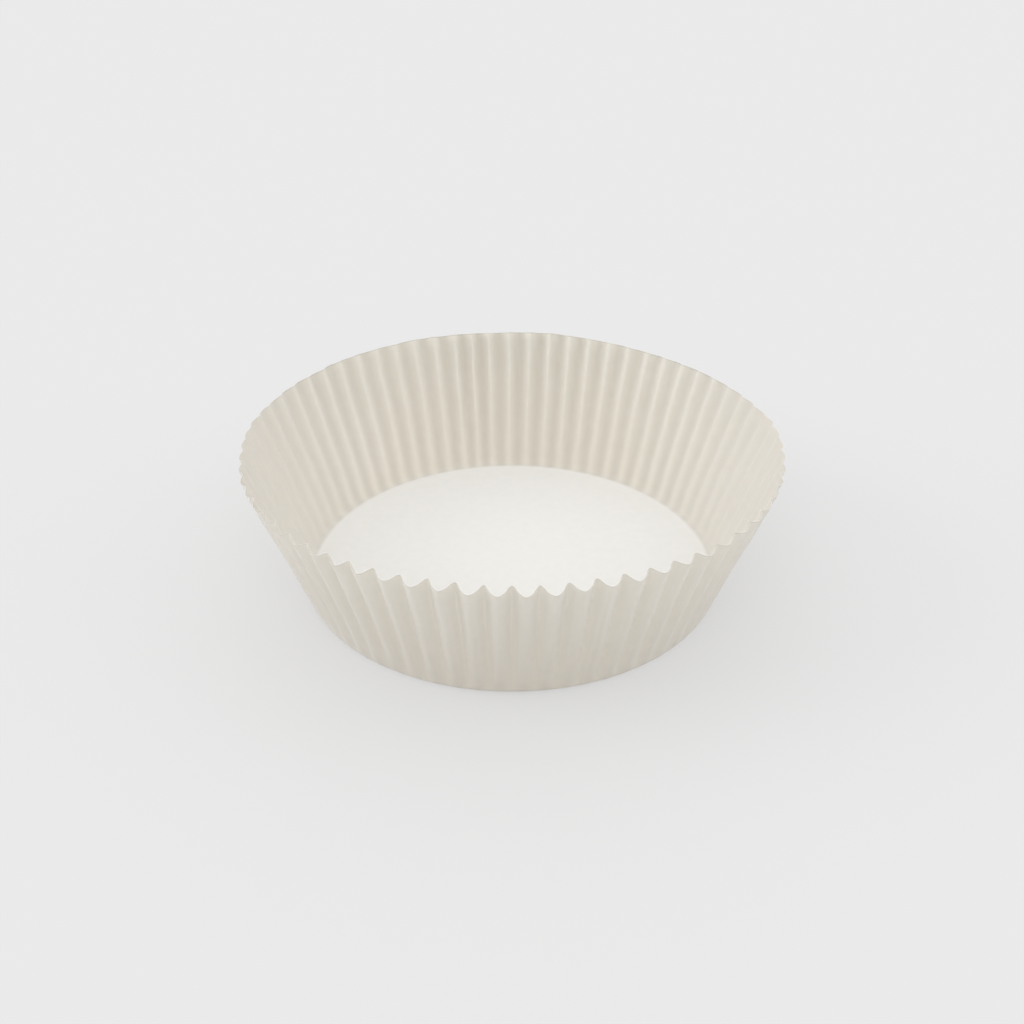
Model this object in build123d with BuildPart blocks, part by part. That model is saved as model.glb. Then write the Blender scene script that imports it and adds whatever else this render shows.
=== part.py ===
from build123d import *

import os
from math import cos, hypot, pi, radians, sin, sqrt, tan

# Pleated paper baking cup, in millimetres. The origin is the middle of the underside of the floor,
# +Z points up through the open mouth, and an inward crease lies on the -Y side.

# Driving dimensions
fold_line_radius = 35.0     # where the planes of the floor and the wall would meet, on the outside
wall_slant = 25.5           # width of the wall, from the fold line to the cut edge
wall_flare = 18.7           # lean of the wall away from upright, degrees
bend_radius = 1.2           # outside radius of the pressed bend between floor and wall
paper_thickness = 0.08      # greaseproof baking paper
pleat_count = 68
crease_sharpness = 0.186    # second harmonic of a pleat: narrow inward creases, broad outward lobes
crest_rounding = 0.90       # depth of a rounded pleat against a sharp zigzag of the same length

# Detail of the modelled surface
points_per_pleat = 12
sections_up_wall = 12
surface_tolerance = 0.001

# Worked out from the driving dimensions
flare = radians(wall_flare)
pleat_angle = 2 * pi / pleat_count
bend_turn = pi / 2 - flare
bend_length = bend_radius * bend_turn
bend_setback = bend_radius * tan(bend_turn / 2)
floor_radius = fold_line_radius - bend_setback
sheet_length = bend_length + wall_slant - bend_setback


def sheet_at(travel):
    """Radius, height and lean from upright of the sheet, a distance out from the flat floor."""
    if travel < bend_length:
        turn = travel / bend_radius
        return floor_radius + bend_radius * sin(turn), bend_radius * (1 - cos(turn)), pi / 2 - turn
    along = travel - bend_length + bend_setback
    return fold_line_radius + along * sin(flare), along * cos(flare), flare


def pleat_swing(travel):
    """Half the depth of a pleat. The flat disc is wider than the ring that it is pressed into, and
    the pleats take up that surplus, so they start from nothing and are deepest at the cut edge."""
    radius = sheet_at(travel)[0]
    surplus = (floor_radius + travel) / radius
    return crest_rounding * radius * pleat_angle / 4 * sqrt(surplus**2 - 1)


def pleat_points(travel, depth):
    """Points across one pleat, from crease to crease, at a depth into the paper from outside."""
    radius, height, lean = sheet_at(travel)
    swing = pleat_swing(travel)
    points = []
    for step in range(points_per_pleat + 1):
        phase = 2 * pi * step / points_per_pleat
        wave = -swing * (cos(phase) + crease_sharpness * cos(2 * phase))
        slope = swing * (sin(phase) + 2 * crease_sharpness * sin(2 * phase)) * pleat_count / radius
        outward = wave - depth / hypot(1, slope)
        sideways = depth * slope / hypot(1, slope)
        reach = radius + outward * cos(lean)
        angle = phase / pleat_count - pi / 2
        points.append(
            (
                reach * cos(angle) - sideways * sin(angle),
                reach * sin(angle) + sideways * cos(angle),
                height - outward * sin(lean),
            )
        )
    return points


def pleat_skin(depth):
    """One pleat of one side of the paper, as a smooth face from the floor to the cut edge."""
    # sections stand closer together near the floor, where the pleats open fastest
    travels = [sheet_length * (level / sections_up_wall) ** 2 for level in range(sections_up_wall + 1)]
    grid = [pleat_points(travel, depth) for travel in travels]
    return Face.make_surface_from_array_of_points(grid, tol=surface_tolerance, min_deg=3, max_deg=5)


def around(shape):
    """Copies of a shape, one for each pleat."""
    return [shape.rotate(Axis.Z, 360 * number / pleat_count) for number in range(pleat_count)]


outer_skin = pleat_skin(0)
inner_skin = pleat_skin(paper_thickness)
outer_foot, *_, outer_rim = outer_skin.edges().sort_by(Axis.Z)
inner_foot, *_, inner_rim = inner_skin.edges().sort_by(Axis.Z)
cut_edge = Face.make_surface_from_curves(outer_rim, inner_rim)

pleats = around(outer_skin) + around(inner_skin) + around(cut_edge)
floors = [Face(Wire(around(foot))) for foot in (outer_foot, inner_foot)]

# the floor, the pleats and the cut edge bound one sheet, so they are sewn into one solid
with BuildPart() as liner:
    add(Solid(Shell(pleats + floors)))

liner.part.label = "liner"

os.makedirs("parts", exist_ok=True)
export_step(liner.part, "parts/liner.step")
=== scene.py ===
import math

import bmesh
import bpy
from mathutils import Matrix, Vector


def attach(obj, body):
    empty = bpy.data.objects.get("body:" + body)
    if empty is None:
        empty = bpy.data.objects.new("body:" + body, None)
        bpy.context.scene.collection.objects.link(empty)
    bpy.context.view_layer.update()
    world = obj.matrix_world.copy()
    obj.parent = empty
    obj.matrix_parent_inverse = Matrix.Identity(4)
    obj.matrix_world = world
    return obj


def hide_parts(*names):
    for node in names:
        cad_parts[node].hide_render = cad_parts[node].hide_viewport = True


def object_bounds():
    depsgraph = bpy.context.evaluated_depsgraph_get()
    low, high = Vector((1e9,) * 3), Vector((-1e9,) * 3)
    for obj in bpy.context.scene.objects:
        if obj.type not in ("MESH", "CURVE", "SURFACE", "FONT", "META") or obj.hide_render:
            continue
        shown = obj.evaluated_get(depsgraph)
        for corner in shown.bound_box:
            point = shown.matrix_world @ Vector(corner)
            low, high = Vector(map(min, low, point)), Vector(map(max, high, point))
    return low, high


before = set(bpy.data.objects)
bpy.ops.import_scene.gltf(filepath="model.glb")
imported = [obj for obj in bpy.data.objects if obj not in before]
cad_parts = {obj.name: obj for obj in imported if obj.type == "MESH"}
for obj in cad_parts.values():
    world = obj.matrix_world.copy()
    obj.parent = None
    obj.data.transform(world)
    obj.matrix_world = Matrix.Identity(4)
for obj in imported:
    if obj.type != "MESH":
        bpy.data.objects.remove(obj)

cadLow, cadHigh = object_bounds()

liner = {
    "foldRadius": 0.035,                # where the floor's plane and the wall's plane meet
    "slant": 0.0255,                    # width of the wall, up to the cut edge
    "flare": math.radians(18.7),        # lean of the wall away from upright
    "bendRadius": 0.0012,               # pressed bend between the floor and the wall
    "paper": 0.00008,                   # thickness of the sheet
    "pleatTurn": math.radians(5.32),    # the die's regular pleat
    "pleatCount": 66,                   # regular pleats
    "tightCount": 2,                    # tight pleats that share what is left of the circle
    "frontCrease": 31,                  # regular creases between the tight pleats and the front one
    "creaseSharpness": 0.19,            # narrow inward creases, broad outward lobes
    "creasePinch": 0.06,                # draws the inward crease to a finer edge
    "crestRounding": 0.90,              # a rounded pleat is shallower than a sharp one
    "foldEase": 0.004,                  # the pleats gain their depth over this much sheet
    "rimTip": math.radians(7),          # the lobes droop at the rim, so the cut edge dips outwards
    "eased": 0.30,                      # share of the full depth that the pleats keep at left and right
    "easedSpread": 0.0007,              # where they are shallow, the rim opens this much wider
    "easing": 2.3,                      # the higher, the nearer the front and back the deep pleats keep
    "columns": 16,                      # faces across one pleat
    "wallRows": 24,                     # faces up the wall
    "rowCrowding": 1.5,                 # the higher, the closer together the rows are near the fold
    "floorRings": (0.006, 0.013, 0.020, 0.026, 0.030, 0.0325, 0.0336),
    "pickShare": 0.3,                   # a row or column is picked within this share of its spacing
    "mergeGap": 0.000002,               # neighbouring pleats share their crease
    "smoothUnder": math.radians(60),    # only the cut edge is sharper than this
    "flutter": ((0.007, 0.0004),        # size of the unevenness, and how far it moves the rim
                (0.025, 0.0006)),
    "nudges": ((112, 0.0, 0.0003),      # where the rim is out of true: degrees round, push, lift
               (36, -0.0002, -0.0005),
               (270, 0.0, -0.00012),
               (90, 0.0006, 0.0)),
    "nudgeSpot": 0.003,                 # held by this much of the rim, and fading out this far away
    "nudgeReach": 0.022,
}


def openForEdit(piece):
    bpy.ops.object.select_all(action="DESELECT")
    piece.select_set(True)
    bpy.context.view_layer.objects.active = piece
    bpy.ops.object.mode_set(mode="EDIT")
    bpy.ops.mesh.select_mode(type="VERT")


def pick(piece, wanted):
    # select just the vertices that the test wants
    mesh = bmesh.from_edit_mesh(piece.data)
    for vertex in mesh.verts:
        vertex.select = wanted(vertex.co)
    mesh.select_flush_mode()
    bmesh.update_edit_mesh(piece.data)


def applyAll(piece):
    bpy.context.view_layer.objects.active = piece
    for modifier in list(piece.modifiers):
        bpy.ops.object.modifier_apply(modifier=modifier.name)


# the sheet's own line, from the flat floor round the bend and up the wall
bendTurn = math.pi / 2 - liner["flare"]
bendLength = liner["bendRadius"] * bendTurn
setback = liner["bendRadius"] * math.tan(bendTurn / 2)
flatRadius = liner["foldRadius"] - setback
sheetLength = bendLength + liner["slant"] - setback
rimRadius = liner["foldRadius"] + liner["slant"] * math.sin(liner["flare"])
rimHeight = liner["slant"] * math.cos(liner["flare"])


def sheetAt(travel):
    # radius, height and lean of the sheet, this far out from the flat floor
    if travel < bendLength:
        turn = travel / liner["bendRadius"]
        return (flatRadius + liner["bendRadius"] * math.sin(turn),
                liner["bendRadius"] * (1 - math.cos(turn)), math.pi / 2 - turn)
    along = travel - bendLength + setback
    return (liner["foldRadius"] + along * math.sin(liner["flare"]),
            along * math.cos(liner["flare"]), liner["flare"])


def pleatSwing(travel):
    # the flat disc is wider than the ring it is pressed into, and the pleats take up the rest
    radius = sheetAt(travel)[0]
    surplus = (flatRadius + travel) / radius
    start = math.sqrt(min(1, travel / liner["foldEase"]))
    return start * liner["crestRounding"] * radius * liner["pleatTurn"] / 4 * math.sqrt(surplus**2 - 1)


def makePleat(name, turn, start, depth, spread):
    # one pleat from crease to crease: a grid, waved column by column, then set out row by row
    columns, rows = liner["columns"], liner["wallRows"]
    levels = [(radius, 0.0, math.pi / 2, 0.0) for radius in liner["floorRings"]]
    for row in range(rows + 1):
        travel = sheetLength * (row / rows) ** liner["rowCrowding"]
        radius, height, lean = sheetAt(travel)
        wider = spread * (height / rimHeight) ** 2
        levels.append((radius + wider, height, lean, depth * pleatSwing(travel)))
    last = len(levels) - 1
    bpy.ops.object.select_all(action="DESELECT")
    bpy.ops.mesh.primitive_grid_add(x_subdivisions=columns, y_subdivisions=last, size=1,
                                    rotation=(math.pi / 2, 0, 0))
    piece = bpy.context.object
    piece.name = name
    bpy.ops.object.transform_apply(location=False, rotation=True, scale=False)
    openForEdit(piece)
    for column in range(columns + 1):
        across = column / columns - 0.5
        phase = 2 * math.pi * (across + 0.5)
        wave = (-math.cos(phase) - liner["creaseSharpness"] * math.cos(2 * phase)
                - liner["creasePinch"] * math.cos(3 * phase))
        pick(piece, lambda co: abs(co.x - across) < liner["pickShare"] / columns)
        bpy.ops.transform.translate(value=(0, -wave, 0))
    deepest = 1 + liner["creaseSharpness"] + liner["creasePinch"]
    for level, (radius, height, lean, swing) in enumerate(levels):
        stand = level / last - 0.5
        droop = lean + liner["rimTip"] * (height / rimHeight) ** 2
        creaseRadius = radius - deepest * swing * math.cos(droop)
        out = creaseRadius * math.cos(turn / 2) + deepest * swing * math.cos(droop)
        pick(piece, lambda co: abs(co.z - stand) < liner["pickShare"] / last)
        bpy.ops.transform.resize(value=(2 * creaseRadius * math.sin(turn / 2), swing, 1),
                                 center_override=(0, 0, stand))
        bpy.ops.transform.rotate(value=-droop, orient_axis="X", center_override=(0, 0, stand))
        # one unit up keeps the finished rows clear of those still to be picked
        bpy.ops.transform.translate(value=(0, -out, height + 1 - stand))
    bpy.ops.mesh.select_all(action="SELECT")
    bpy.ops.transform.translate(value=(0, 0, -1))
    bpy.ops.object.mode_set(mode="OBJECT")
    piece.rotation_euler.z = start + turn / 2 + math.pi / 2
    bpy.ops.object.transform_apply(location=False, rotation=True, scale=False)
    return piece


def makeRing(name, depth, spread):
    # the regular pleats are one pleat spun round, and the tight ones fill the gap that is left
    turn, count, tight = liner["pleatTurn"], liner["pleatCount"], liner["tightCount"]
    firstCrease = -math.pi / 2 - liner["frontCrease"] * turn
    ring = makePleat(name, turn, firstCrease, depth, spread)
    openForEdit(ring)
    bpy.ops.mesh.select_all(action="SELECT")
    bpy.ops.mesh.spin(steps=count - 1, angle=-(count - 1) * turn, dupli=True,
                      center=(0, 0, 0), axis=(0, 0, 1))
    bpy.ops.object.mode_set(mode="OBJECT")
    tightTurn = (2 * math.pi - count * turn) / tight
    for number in range(tight):
        start = firstCrease - (number + 1) * tightTurn
        extra = makePleat("tightPleat", tightTurn, start, depth, spread)
        bpy.ops.object.select_all(action="DESELECT")
        extra.select_set(True)
        ring.select_set(True)
        bpy.context.view_layer.objects.active = ring
        bpy.ops.object.join()
    return ring


def easeSides(piece, easedRing):
    # the same ring with shallower pleats, mixed in towards the left and right of the cup
    sides = piece.vertex_groups.new(name="sides")
    for vertex in piece.data.vertices:
        frontOrBack = abs(vertex.co.y) / math.hypot(vertex.co.x, vertex.co.y)
        sides.add([vertex.index], 1 - frontOrBack ** liner["easing"], "REPLACE")
    bpy.ops.object.select_all(action="DESELECT")
    easedRing.select_set(True)
    piece.select_set(True)
    bpy.context.view_layer.objects.active = piece
    bpy.ops.object.join_shapes()
    easedShape = piece.data.shape_keys.key_blocks[-1]
    easedShape.vertex_group = sides.name
    easedShape.value = 1.0
    piece.active_shape_key_index = 1
    bpy.ops.object.shape_key_remove(all=True, apply_mix=True)
    piece.vertex_groups.clear()
    bpy.data.objects.remove(easedRing)


def wearIn(piece):
    # the pleats flutter a little, and the ring is a little out of round
    wall = piece.vertex_groups.new(name="wall")
    for vertex in piece.data.vertices:
        if vertex.co.z > liner["bendRadius"]:
            wall.add([vertex.index], vertex.co.z / rimHeight, "REPLACE")
    for size, amount in liner["flutter"]:
        clouds = bpy.data.textures.new("flutter", "CLOUDS")
        clouds.cloud_type = "COLOR"
        clouds.noise_scale = size
        flutter = piece.modifiers.new("flutter", "DISPLACE")
        flutter.texture = clouds
        flutter.texture_coords = "LOCAL"
        flutter.direction = "RGB_TO_XYZ"
        flutter.vertex_group = wall.name
        flutter.strength = amount
    applyAll(piece)
    for degrees, push, lift in liner["nudges"]:
        turn = math.radians(degrees)
        spot = Vector((rimRadius * math.cos(turn), rimRadius * math.sin(turn), rimHeight))
        openForEdit(piece)
        pick(piece, lambda co: (co - spot).length < liner["nudgeSpot"])
        bpy.ops.transform.translate(value=(push * math.cos(turn), push * math.sin(turn), lift),
                                    use_proportional_edit=True, proportional_edit_falloff="SMOOTH",
                                    proportional_size=liner["nudgeReach"])
        bpy.ops.object.mode_set(mode="OBJECT")
    piece.vertex_groups.clear()


def makeLiner():
    piece = makeRing("paperLiner", 1.0, 0.0)
    easeSides(piece, makeRing("easedRing", liner["eased"], liner["easedSpread"]))
    openForEdit(piece)
    bpy.ops.mesh.select_all(action="SELECT")
    bpy.ops.mesh.remove_doubles(threshold=liner["mergeGap"])
    # the hole in the middle of the floor is closed with a fan of triangles
    middle = (liner["floorRings"][0] + liner["floorRings"][1]) / 2
    pick(piece, lambda co: math.hypot(co.x, co.y) < middle)
    bpy.ops.mesh.edge_face_add()
    bpy.ops.mesh.poke()
    bpy.ops.mesh.select_all(action="SELECT")
    bpy.ops.mesh.normals_make_consistent(inside=False)
    bpy.ops.object.mode_set(mode="OBJECT")
    wearIn(piece)
    solidify = piece.modifiers.new("sheet", "SOLIDIFY")
    solidify.thickness = liner["paper"]
    solidify.offset = -1
    solidify.use_even_offset = True
    applyAll(piece)
    bpy.ops.object.shade_smooth_by_angle(angle=liner["smoothUnder"])
    return piece


piece = makeLiner()
print("liner: ", len(piece.data.vertices), "vertices")


def linearColour(hexCode):
    # sRGB hex to the linear colour that a shader wants
    shares = [int(hexCode[place:place + 2], 16) / 255 for place in (1, 3, 5)]
    return tuple(share / 12.92 if share <= 0.04045 else ((share + 0.055) / 1.055) ** 2.4
                 for share in shares) + (1.0,)


def addNode(tree, kind, settings=None, inputs=None):
    # one node with its settings, and its inputs as values or as the sockets that feed them. Inputs
    # go by name, or by number where names repeat: a Mix keeps numbers at 2 and 3, colours at 6 and 7
    node = tree.nodes.new(kind)
    for name, value in (settings or {}).items():
        setattr(node, name, value)
    for name, value in (inputs or {}).items():
        if isinstance(value, bpy.types.NodeSocket):
            tree.links.new(value, node.inputs[name])
        else:
            node.inputs[name].default_value = value
    return node


paperLook = {
    "floor": "#EFEDE8",                 # the flat floor, paler than the wall, whose tones carry painted shade
    "foldStart": 0.0337,                # radii between which the floor's tone becomes the wall's
    "foldEnd": 0.0346,
    "wallLow": "#D3CEC5",               # the wall just above the fold, at the front and back, darker than the floor as painted shade and at the cut edge, where less of that painted shade is left
    "wallHigh": "#DBD7CF",              # and at the cut edge
    "wallSide": "#D8D4CD",              # at the left and right, where shallow pleats bounce less warm light
    "deepFrom": 0.013,                  # between these distances from the cup's middle line the side tone gives way to the front and back tones, which get a little painted light on the inside, against the deep pleats' shade there the inside darkens towards the cut edge
    "deepFull": 0.036,                  # the side tone gives way to the front and back tones,
    "deepPaintedLight": 1.05,                   # which are a little paler on the inside
    "innerHigh": 0.94,                  # there the inside darkens towards the cut edge
    "outerLow": 0.91,                   # painted shade: the outside darkens towards the fold
    "outerHigh": 1.015,
    "creaseLight": 1.09,                # painted light along the inward folds seen from inside and painted shade in the hollows between them
    "creaseShade": 0.935,               # and the hollows between them
    "creaseWidth": 1.25,                # the higher, the narrower the painted light line
    "creaseFrom": 0.002,                # the painted light and shade follow the depth of the pleats: none this near the middle line, at the left and right, and all of it from here
    "creaseFull": 0.024,                # middle line, at the left and right, and all of it from here
    "outerCrease": 0.03,                # painted light on the same folds from outside, where they show less, and painted shade on them at the left and right
    "outerCreaseSide": -0.035,          # and are in shade at the left and right
    "cutEdge": 0.88,                    # painted shade on the sheared edge, darker than either face, front and back
    "cutEdgeFrom": 0.996,               # share of the sheet's length at which it starts
    "mottle": 0.0016,                   # clouds of fibre in the sheet
    "mottleRange": (0.3, 0.7),          # the part of the noise that carries them
    "mottleAmount": 0.012,
    "fibre": 0.0003,                    # fibres are finer, drawn this coarse so that they show
    "fibreHeight": 0.000004,
    "roughness": 0.62,                  # calendered smooth, but not glossy
    "roughnessSwing": 0.06,             # the clouds are smoother and rougher by this much
    "ior": 1.48,                        # cellulose
    "scatter": 0.0002,                  # how far light soaks through the sheet,
    "scatterTint": (1.0, 0.98, 0.95),   # and a little further at the red end
}


def makePaper():
    # greaseproof paper: hard-beaten pulp, calendered and pressed into pleats. It is matt, faintly
    # cloudy and a little see-through where light is behind it. Its colour carries painted light and shade
    # along the folds, on the wall and at the cut edge.
    material = bpy.data.materials.new("greaseproofPaper")
    material.use_nodes = True
    tree = material.node_tree
    shader = tree.nodes["Principled BSDF"]
    place = addNode(tree, "ShaderNodeTexCoord").outputs["Object"]
    axes = addNode(tree, "ShaderNodeSeparateXYZ", None, {"Vector": place}).outputs
    up = addNode(tree, "ShaderNodeMapRange", None,
                 {"Value": axes["Z"], "From Min": 0.0, "From Max": rimHeight}).outputs["Result"]

    # two shares that are none at the left and right of the cup and all at its front and back
    fromMiddle = addNode(tree, "ShaderNodeMath", {"operation": "ABSOLUTE"}, {0: axes["Y"]}).outputs[0]
    deepShare = addNode(tree, "ShaderNodeMapRange", None,
                        {"Value": fromMiddle, "From Min": paperLook["deepFrom"],
                         "From Max": paperLook["deepFull"]}).outputs["Result"]
    creaseShare = addNode(tree, "ShaderNodeMapRange", None,
                          {"Value": fromMiddle, "From Min": paperLook["creaseFrom"],
                           "From Max": paperLook["creaseFull"]}).outputs["Result"]

    # the wall's tone, before the pleats: painted shade, darker than the floor and darker towards the fold
    # painted shade: the wall is darker low down, near the fold
    shadedRising = addNode(tree, "ShaderNodeMix", {"data_type": "RGBA"},
                     {0: up, 6: linearColour(paperLook["wallLow"]),
                      7: linearColour(paperLook["wallHigh"])}).outputs[2]
    wall = addNode(tree, "ShaderNodeMix", {"data_type": "RGBA"},
                   {0: deepShare, 6: linearColour(paperLook["wallSide"]), 7: shadedRising}).outputs[2]

    # where the floor ends and the wall starts
    flat = addNode(tree, "ShaderNodeVectorMath", {"operation": "MULTIPLY"},
                   {0: place, 1: (1, 1, 0)}).outputs[0]
    radius = addNode(tree, "ShaderNodeVectorMath", {"operation": "LENGTH"}, {0: flat}).outputs["Value"]
    onWall = addNode(tree, "ShaderNodeMapRange", {"interpolation_type": "SMOOTHSTEP"},
                     {"Value": radius, "From Min": paperLook["foldStart"],
                      "From Max": paperLook["foldEnd"]}).outputs["Result"]

    # which face of the sheet this is: the wall's outward direction against the surface's own
    radial = addNode(tree, "ShaderNodeVectorMath", {"operation": "NORMALIZE"}, {0: flat}).outputs[0]
    lean = math.cos(liner["flare"])
    outward = addNode(tree, "ShaderNodeVectorMath", {"operation": "MULTIPLY_ADD"},
                      {0: radial, 1: (lean, lean, lean), 2: (0, 0, -math.sin(liner["flare"]))}).outputs[0]
    normal = addNode(tree, "ShaderNodeNewGeometry").outputs["Normal"]
    facing = addNode(tree, "ShaderNodeVectorMath", {"operation": "DOT_PRODUCT"},
                     {0: outward, 1: normal}).outputs["Value"]
    inside = addNode(tree, "ShaderNodeMapRange", None,
                     {"Value": facing, "From Min": 0.1, "From Max": -0.1}).outputs["Result"]

    # the piece's own map runs from crease to crease across each pleat, and from the floor to the rim
    sheetMap = addNode(tree, "ShaderNodeUVMap", {"uv_map": "UVMap"}).outputs["UV"]
    across = addNode(tree, "ShaderNodeSeparateXYZ", None, {0: sheetMap}).outputs
    turned = addNode(tree, "ShaderNodeMath", {"operation": "MULTIPLY"},
                     {0: across["X"], 1: 2 * math.pi}).outputs[0]
    crest = addNode(tree, "ShaderNodeMath", {"operation": "COSINE"}, {0: turned}).outputs[0]

    # inside: painted light along the folds and painted shade between them, more painted light
    # where the pleats are deep, and a tone that follows the height
    crestShare = addNode(tree, "ShaderNodeMapRange", None,
                         {"Value": crest, "From Min": -1.0, "From Max": 1.0}).outputs["Result"]
    foldLine = addNode(tree, "ShaderNodeMath", {"operation": "POWER"},
                       {0: crestShare, 1: paperLook["creaseWidth"]}).outputs[0]
    # painted light on the inward folds and painted shade in the hollows between them
    creaseLightShade = addNode(tree, "ShaderNodeMapRange", None,
                       {"Value": foldLine, "To Min": paperLook["creaseShade"],
                        "To Max": paperLook["creaseLight"]}).outputs["Result"]
    # painted light on the inside where the pleats are deepest
    deepLightTone = addNode(tree, "ShaderNodeMapRange", None,
                       {"Value": deepShare, "To Min": 1.0,
                        "To Max": paperLook["deepPaintedLight"]}).outputs["Result"]
    highTone = addNode(tree, "ShaderNodeMapRange", None,
                       {"Value": up, "To Min": 1.0, "To Max": paperLook["innerHigh"]}).outputs["Result"]
    deepHigh = addNode(tree, "ShaderNodeMath", {"operation": "MULTIPLY"},
                       {0: deepLightTone, 1: highTone}).outputs[0]
    pleatTone = addNode(tree, "ShaderNodeMath", {"operation": "MULTIPLY"},
                        {0: creaseLightShade, 1: deepHigh}).outputs[0]
    innerTone = addNode(tree, "ShaderNodeMix", {"data_type": "FLOAT"},
                        {0: creaseShare, 2: 1.0, 3: pleatTone}).outputs[0]

    # outside: the same folds, which show less, with painted light at front and back and painted
    # shade at the sides, and painted shade towards the fold
    # painted shade, darker towards the fold
    outerHeight = addNode(tree, "ShaderNodeMapRange", None,
                          {"Value": up, "To Min": paperLook["outerLow"],
                           "To Max": paperLook["outerHigh"]}).outputs["Result"]
    # painted light on the outer folds at front and back, painted shade on them at the sides
    outerLine = addNode(tree, "ShaderNodeMapRange", None,
                        {"Value": creaseShare, "To Min": paperLook["outerCreaseSide"],
                         "To Max": paperLook["outerCrease"]}).outputs["Result"]
    outerTone = addNode(tree, "ShaderNodeMath", {"operation": "MULTIPLY_ADD"},
                        {0: crest, 1: outerLine, 2: outerHeight}).outputs[0]
    wallTone = addNode(tree, "ShaderNodeMix", {"data_type": "FLOAT"},
                       {0: inside, 2: outerTone, 3: innerTone}).outputs[0]
    pleated = addNode(tree, "ShaderNodeVectorMath", {"operation": "SCALE"},
                      {0: wall, "Scale": wallTone}).outputs[0]
    sheet = addNode(tree, "ShaderNodeMix", {"data_type": "RGBA"},
                    {0: onWall, 6: linearColour(paperLook["floor"]), 7: pleated}).outputs[2]

    # clouds of fibre, and painted shade along the cut edge
    cloud = addNode(tree, "ShaderNodeTexNoise", None,
                    {"Vector": place, "Scale": 1 / paperLook["mottle"], "Detail": 3.0}).outputs["Fac"]
    faint, strong = paperLook["mottleRange"]
    mottle = addNode(tree, "ShaderNodeMapRange", None,
                     {"Value": cloud, "From Min": faint, "From Max": strong,
                      "To Min": 1 - paperLook["mottleAmount"],
                      "To Max": 1 + paperLook["mottleAmount"]}).outputs["Result"]
    onEdge = addNode(tree, "ShaderNodeMath", {"operation": "GREATER_THAN"},
                     {0: across["Y"], 1: paperLook["cutEdgeFrom"]}).outputs[0]
    # painted shade along the cut edge, at front and back
    edgeShadeShare = addNode(tree, "ShaderNodeMath", {"operation": "MULTIPLY"},
                        {0: onEdge, 1: creaseShare}).outputs[0]
    edgeTone = addNode(tree, "ShaderNodeMapRange", None,
                       {"Value": edgeShadeShare, "To Min": 1.0, "To Max": paperLook["cutEdge"]}).outputs["Result"]
    lastTone = addNode(tree, "ShaderNodeMath", {"operation": "MULTIPLY"},
                       {0: edgeTone, 1: mottle}).outputs[0]
    colour = addNode(tree, "ShaderNodeVectorMath", {"operation": "SCALE"},
                     {0: sheet, "Scale": lastTone}).outputs[0]
    tree.links.new(colour, shader.inputs["Base Color"])

    fibres = addNode(tree, "ShaderNodeTexNoise", None,
                     {"Vector": place, "Scale": 1 / paperLook["fibre"], "Detail": 2.0}).outputs["Fac"]
    bump = addNode(tree, "ShaderNodeBump", None,
                   {"Height": fibres, "Distance": paperLook["fibreHeight"], "Strength": 1.0})
    tree.links.new(bump.outputs["Normal"], shader.inputs["Normal"])
    sheen = addNode(tree, "ShaderNodeMapRange", None,
                    {"Value": cloud, "To Min": paperLook["roughness"] - paperLook["roughnessSwing"],
                     "To Max": paperLook["roughness"] + paperLook["roughnessSwing"]}).outputs["Result"]
    tree.links.new(sheen, shader.inputs["Roughness"])
    shader.inputs["IOR"].default_value = paperLook["ior"]
    shader.inputs["Subsurface Weight"].default_value = 1.0
    shader.inputs["Subsurface Radius"].default_value = paperLook["scatterTint"]
    shader.inputs["Subsurface Scale"].default_value = paperLook["scatter"]
    return material


piece.data.materials.clear()
piece.data.materials.append(makePaper())
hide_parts("liner")
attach(piece, "root")
print("paper: greaseproof")

studio = {
    "ground": "#ABABAB",                # matt acrylic sheet, lit faintly from below
    "groundSize": 60,
    "glow": 0.39,
    "sky": 0.555,
    "suns": ((0, 90, 130, 1.03),        # degrees round, degrees up, width in degrees, strength
             (180, 22, 40, 0.57),
             (0, 22, 40, 0.20),
             (90, 30, 50, 0.14),
             (270, 40, 50, 0.34)),
}


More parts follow.
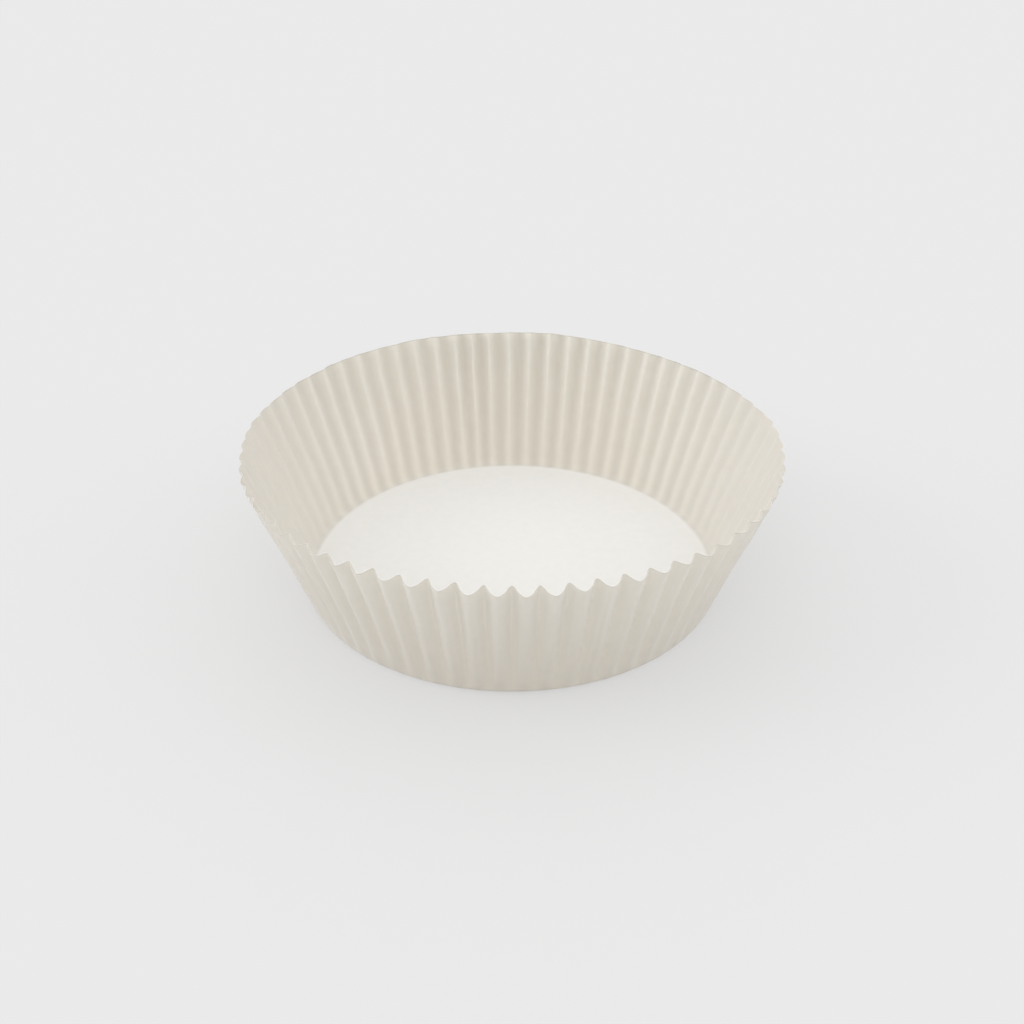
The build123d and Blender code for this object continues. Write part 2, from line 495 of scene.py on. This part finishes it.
def makeStudio():
    # the ground lies just under the sheet, so the two faces don't share a plane
    under = cadLow.z - liner["paper"] / 4
    bpy.ops.mesh.primitive_plane_add(size=studio["groundSize"], location=(0, 0, under))
    ground = bpy.context.object
    ground.name = "ground"
    # matt acrylic sheet: cast, then sanded all over, so it takes soft shadows and shows no highlight
    acrylic = bpy.data.materials.new("mattAcrylic")
    acrylic.use_nodes = True
    shader = acrylic.node_tree.nodes["Principled BSDF"]
    shader.inputs["Base Color"].default_value = linearColour(studio["ground"])
    shader.inputs["Roughness"].default_value = 1.0
    shader.inputs["Specular IOR Level"].default_value = 0.0
    shader.inputs["Emission Color"].default_value = (1, 1, 1, 1)
    shader.inputs["Emission Strength"].default_value = studio["glow"]
    ground.data.materials.append(acrylic)
    world = bpy.data.worlds.new("studio")
    bpy.context.scene.world = world
    world.use_nodes = True
    background = world.node_tree.nodes["Background"]
    background.inputs["Color"].default_value = (1, 1, 1, 1)
    background.inputs["Strength"].default_value = studio["sky"]
    for around, rise, width, strength in studio["suns"]:
        turn, lift = math.radians(around), math.radians(rise)
        bpy.ops.object.light_add(type="SUN", location=(math.cos(turn) * math.cos(lift),
                                                       math.sin(turn) * math.cos(lift), math.sin(lift)),
                                 rotation=(0, math.pi / 2 - lift, turn))
        sun = bpy.context.object
        sun.data.angle = math.radians(width)
        sun.data.energy = strength


makeStudio()
print("studio: ", len(studio["suns"]), "soft lights")

view = {
    "elevation": math.radians(31.55),
    "distance": 0.21326,                # from the point it aims at, on the cup's axis
    "aimHeight": 0.01037,
    "lens": 44.41,
    "sensor": 36,
    "nearest": 0.005,
}
bpy.ops.object.camera_add()
camera = bpy.context.object
camera.data.lens = view["lens"]
camera.data.sensor_width = view["sensor"]
camera.data.clip_start = view["nearest"]
camera.location = (0, -view["distance"] * math.cos(view["elevation"]),
                   view["aimHeight"] + view["distance"] * math.sin(view["elevation"]))
camera.rotation_euler = (math.pi / 2 - view["elevation"], 0, 0)
bpy.context.scene.camera = camera
bpy.context.scene.view_settings.view_transform = "Standard"
print("camera:", view["lens"], "mm")
